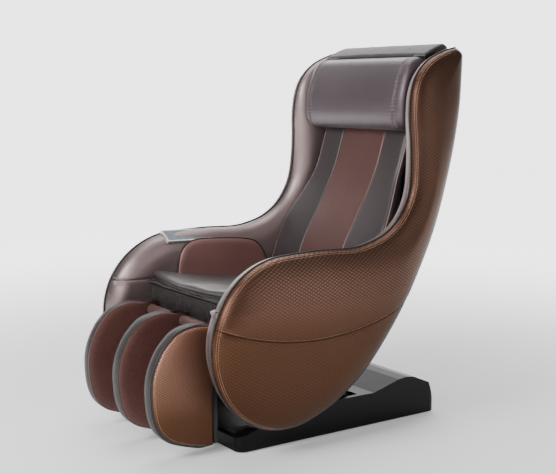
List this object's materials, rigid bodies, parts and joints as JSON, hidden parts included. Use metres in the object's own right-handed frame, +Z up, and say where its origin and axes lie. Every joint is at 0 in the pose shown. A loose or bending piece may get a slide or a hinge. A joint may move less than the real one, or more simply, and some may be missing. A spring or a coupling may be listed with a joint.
{
  "type": "massage chair",
  "caption": "Compact upholstered massage chair with round-sided shell arms, head wings and pillow, three-walled leg rest, roller carriage in the back and a low base on which it slides and tips.",
  "frame": {"origin": "centre of the bounding box at the bottom, on the floor under the middle of the chair, with the leg rest hanging down and the back upright", "axes": "+Z up from the floor, the sitter faces -Y, +X on the left of the sitter"},
  "size_m": [0.69, 0.96, 1.063],
  "materials": {
    "frame_paint": "satin black powder coat",
    "cover_gloss": "glossy black moulding with a dark grey deck",
    "rubber_black": "matt black rubber",
    "roller_rubber": "matt dark grey rubber",
    "moulded_black": "matt black moulding",
    "nylon": "natural nylon",
    "board_wood": "plain plywood",
    "rail_steel": "drawn steel",
    "rod_chrome": "polished rod",
    "cast_alloy": "cast alloy",
    "panel_silver": "satin silver frame",
    "screen_glass": "dark blue-grey screen",
    "valance_cloth": "dark cloth in folds",
    "bronze_hide": "copper brown embossed hide with a metallic sheen",
    "brown_hide": "dark brown smooth hide with a metallic sheen",
    "grey_hide": "dark grey-brown smooth hide",
    "red_hide": "reddish-brown smooth hide",
    "seat_hide": "grey-black smooth hide"
  },
  "bodies": {
    "base": {"base_frame": "frame_paint", "base_cover": "cover_gloss", "base_feet": "rubber_black", "power_inlet": "moulded_black", "power_supply": "cast_alloy"},
    "caster_left": {"caster_left": "rubber_black"},
    "caster_right": {"caster_right": "rubber_black"},
    "power_rocker": {"power_rocker": "cover_gloss"},
    "carriage": {"carriage_frame": "frame_paint"},
    "wheelset_front": {"wheelset_front": "moulded_black"},
    "wheelset_rear": {"wheelset_rear": "moulded_black"},
    "recline_motor": {"recline_motor": "moulded_black"},
    "recline_rod": {"recline_rod": "rod_chrome"},
    "seat": {"seat_frame": "frame_paint", "seat_board": "board_wood", "back_frame": "frame_paint", "rail_left": "rail_steel", "rail_right": "rail_steel", "seat_cushion": "seat_hide", "seat_topper": "seat_hide", "seat_valance": "valance_cloth", "back_pad": "grey_hide", "pillow": "grey_hide", "top_flap": "grey_hide", "arm_upper_left": "brown_hide", "arm_upper_right": "brown_hide", "arm_lower_left": "brown_hide", "arm_lower_right": "brown_hide", "side_panel_left": "bronze_hide", "side_panel_right": "bronze_hide", "arm_pad_left": "red_hide", "arm_pad_right": "red_hide", "back_cover": "moulded_black", "control_panel": "panel_silver", "control_screen": "screen_glass", "air_pump": "moulded_black", "control_box": "moulded_black", "hinge_shaft": "rail_steel"},
    "legrest": {"leg_pan": "frame_paint", "leg_wall_left": "red_hide", "leg_wall_middle": "red_hide", "leg_wall_right": "red_hide", "leg_face_left": "bronze_hide", "leg_face_right": "bronze_hide", "calf_pad_left": "red_hide", "calf_pad_right": "red_hide"},
    "legrest_motor": {"legrest_motor": "moulded_black"},
    "legrest_rod": {"legrest_rod": "rod_chrome"},
    "massage_carriage": {"mech_frame": "rail_steel", "mech_sliders": "nylon", "mech_motor": "moulded_black", "travel_motor": "moulded_black"},
    "travel_shaft": {"travel_shaft": "rail_steel"},
    "knead_arm_left": {"knead_arm_left": "cast_alloy"},
    "knead_arm_right": {"knead_arm_right": "cast_alloy"},
    "roller_upper_left": {"roller_upper_left": "roller_rubber"},
    "roller_lower_left": {"roller_lower_left": "roller_rubber"},
    "roller_upper_right": {"roller_upper_right": "roller_rubber"},
    "roller_lower_right": {"roller_lower_right": "roller_rubber"}
  },
  "joints": [
    {"name": "carriage_slide", "type": "slide", "parent": "base", "child": "carriage", "axis": [0, -1, 0], "range_m": [0, 0.12]},
    {"name": "body_recline", "type": "hinge", "parent": "carriage", "child": "seat", "pos_m": [0, -0.14, 0.29], "axis": [-1, 0, 0], "range_deg": [0, 25]},
    {"name": "wheel_front_roll", "type": "hinge", "parent": "carriage", "child": "wheelset_front", "pos_m": [0, -0.077, 0.0673], "axis": [1, 0, 0], "range_deg": [0, 451]},
    {"name": "wheel_rear_roll", "type": "hinge", "parent": "carriage", "child": "wheelset_rear", "pos_m": [0, 0.073, 0.0673], "axis": [1, 0, 0], "range_deg": [0, 451]},
    {"name": "recline_motor_tilt", "type": "hinge", "parent": "carriage", "child": "recline_motor", "pos_m": [0.07, -0.107, 0.085], "axis": [-1, 0, 0], "range_deg": [0, 20.6]},
    {"name": "recline_rod_travel", "type": "slide", "parent": "recline_motor", "child": "recline_rod", "axis": [0, 0.8489, 0.5286], "range_m": [-0.088, 0]},
    {"name": "legrest_lift", "type": "hinge", "parent": "seat", "child": "legrest", "pos_m": [0, -0.285, 0.318], "axis": [-1, 0, 0], "range_deg": [0, 80]},
    {"name": "legrest_motor_tilt", "type": "hinge", "parent": "seat", "child": "legrest_motor", "pos_m": [-0.07, 0.018, 0.225], "axis": [-1, 0, 0], "range_deg": [0, 12.1]},
    {"name": "legrest_rod_travel", "type": "slide", "parent": "legrest_motor", "child": "legrest_rod", "axis": [0, -0.9987, -0.051], "range_m": [0, 0.119]},
    {"name": "massage_travel", "type": "slide", "parent": "seat", "child": "massage_carriage", "axis": [0, 0.2957, 0.9553], "range_m": [-0.15, 0.15]},
    {"name": "travel_shaft_turn", "type": "hinge", "parent": "massage_carriage", "child": "travel_shaft", "pos_m": [0, 0.32519, 0.50892], "axis": [1, 0, 0], "continuous": true},
    {"name": "knead_left", "type": "hinge", "parent": "massage_carriage", "child": "knead_arm_left", "pos_m": [0.094, 0.36119, 0.60036], "axis": [1, 0, 0], "range_deg": [-6, 6]},
    {"name": "knead_right", "type": "hinge", "parent": "massage_carriage", "child": "knead_arm_right", "pos_m": [-0.094, 0.36119, 0.60036], "axis": [1, 0, 0], "range_deg": [-6, 6]},
    {"name": "roller_upper_left_turn", "type": "hinge", "parent": "knead_arm_left", "child": "roller_upper_left", "pos_m": [0.076, 0.36233, 0.66491], "axis": [1, 0, 0], "continuous": true},
    {"name": "roller_lower_left_turn", "type": "hinge", "parent": "knead_arm_left", "child": "roller_lower_left", "pos_m": [0.076, 0.32566, 0.54646], "axis": [1, 0, 0], "continuous": true},
    {"name": "roller_upper_right_turn", "type": "hinge", "parent": "knead_arm_right", "child": "roller_upper_right", "pos_m": [-0.076, 0.36233, 0.66491], "axis": [1, 0, 0], "continuous": true},
    {"name": "roller_lower_right_turn", "type": "hinge", "parent": "knead_arm_right", "child": "roller_lower_right", "pos_m": [-0.076, 0.32566, 0.54646], "axis": [1, 0, 0], "continuous": true},
    {"name": "caster_left_roll", "type": "hinge", "parent": "base", "child": "caster_left", "pos_m": [0.224, 0.402, 0.027], "axis": [1, 0, 0], "continuous": true},
    {"name": "caster_right_roll", "type": "hinge", "parent": "base", "child": "caster_right", "pos_m": [-0.224, 0.402, 0.027], "axis": [1, 0, 0], "continuous": true},
    {"name": "power_switch", "type": "hinge", "parent": "base", "child": "power_rocker", "pos_m": [-0.0515, 0.416, 0.0535], "axis": [1, 0, 0], "range_deg": [-12, 0]}
  ],
  "couplings": [
    {"joint": "carriage_slide", "follows": "body_recline", "m_per_rad": 0.275},
    {"joint": "wheel_front_roll", "follows": "body_recline", "ratio": 17.974},
    {"joint": "wheel_rear_roll", "follows": "body_recline", "ratio": 17.974},
    {"joint": "recline_motor_tilt", "follows": "body_recline", "ratio": 0.82},
    {"joint": "recline_rod_travel", "follows": "body_recline", "m_per_rad": -0.2014},
    {"joint": "legrest_motor_tilt", "follows": "legrest_lift", "ratio": 0.15},
    {"joint": "legrest_rod_travel", "follows": "legrest_lift", "m_per_rad": 0.0849},
    {"joint": "travel_shaft_turn", "follows": "massage_travel", "rad_per_m": 55.556},
    {"joint": "knead_right", "follows": "knead_left", "ratio": -1}
  ]
}
